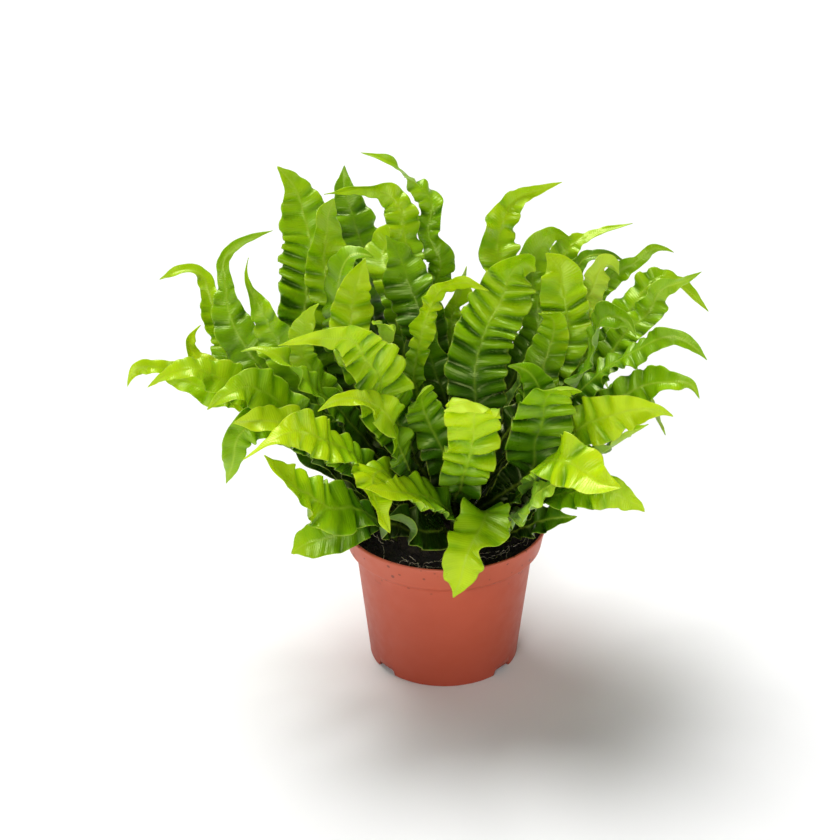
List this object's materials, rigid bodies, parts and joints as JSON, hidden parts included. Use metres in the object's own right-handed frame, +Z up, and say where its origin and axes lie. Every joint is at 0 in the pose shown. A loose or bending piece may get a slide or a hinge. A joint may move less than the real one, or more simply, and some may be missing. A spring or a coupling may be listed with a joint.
{
  "type": "potted fern",
  "caption": "Fern with pleated, curling fronds on a low crown, in potting soil in a round plastic nursery pot with a collar and a notched foot.",
  "frame": {"origin": "on the pot's axis, at the level of the foot that it stands on", "axes": "+Z up along the pot's axis; -Y is the side of the plant that the picture shows; +X is to the right as seen from there"},
  "size_m": [0.3449, 0.2644, 0.2903],
  "materials": {
    "pot": "matte",
    "soil": "matte",
    "crown": "matte",
    "frond_bright": "satin",
    "frond_mid": "satin",
    "frond_dark": "satin"
  },
  "bodies": {
    "root": {"pot": "pot", "potting_soil": "soil", "crown": "crown", "frond_centre_big": "frond_mid", "frond_front_curl": "frond_bright", "frond_big_bright": "frond_bright", "frond_front_right": "frond_mid", "frond_front_hanging": "frond_bright", "frond_front_left_bright": "frond_bright", "frond_big_low_left": "frond_mid", "frond_rim_left": "frond_mid", "frond_left_bright": "frond_bright", "frond_right_bright": "frond_bright", "frond_right_arch": "frond_bright", "frond_right_dark": "frond_dark", "frond_right_low": "frond_mid", "frond_right_under": "frond_mid", "frond_front_low_left": "frond_dark", "frond_centre_ribbon": "frond_mid", "frond_dark_centre": "frond_dark", "frond_dark_broad": "frond_dark", "frond_centre_arch": "frond_bright", "frond_near_arch": "frond_mid", "frond_tall_left": "frond_mid", "frond_top_twist": "frond_mid", "frond_top_left_hook": "frond_mid", "frond_top_left_tip": "frond_dark", "frond_back_tall_right": "frond_mid", "frond_curl_top_right": "frond_mid", "frond_back_right_tip": "frond_mid", "frond_far_right_arch": "frond_mid", "frond_far_right_twist": "frond_bright", "frond_right_ribbon": "frond_mid", "frond_far_right_mid": "frond_bright", "frond_far_right_low": "frond_mid", "frond_left_swan": "frond_mid", "frond_far_left_curl": "frond_mid", "frond_far_left_front": "frond_mid", "frond_far_left_back": "frond_bright", "frond_right_bend": "frond_bright", "frond_right_mid": "frond_mid", "frond_left_hanging": "frond_bright", "frond_left_pale": "frond_bright", "frond_left_droop": "frond_mid", "frond_left_fold": "frond_mid", "frond_left_ribbon": "frond_mid", "frond_bright_tip": "frond_bright", "frond_small_left": "frond_mid", "frond_left_thorn": "frond_mid", "frond_tall_left_inner": "frond_mid", "frond_bright_rib": "frond_bright", "frond_dark_bend": "frond_dark", "frond_pale_turn": "frond_bright", "frond_right_corrugated": "frond_mid", "frond_silver_under": "frond_bright", "frond_dark_hook": "frond_dark", "frond_back_1": "frond_mid", "frond_back_2": "frond_mid", "frond_back_3": "frond_mid", "frond_back_4": "frond_mid"}
  },
  "joints": []
}
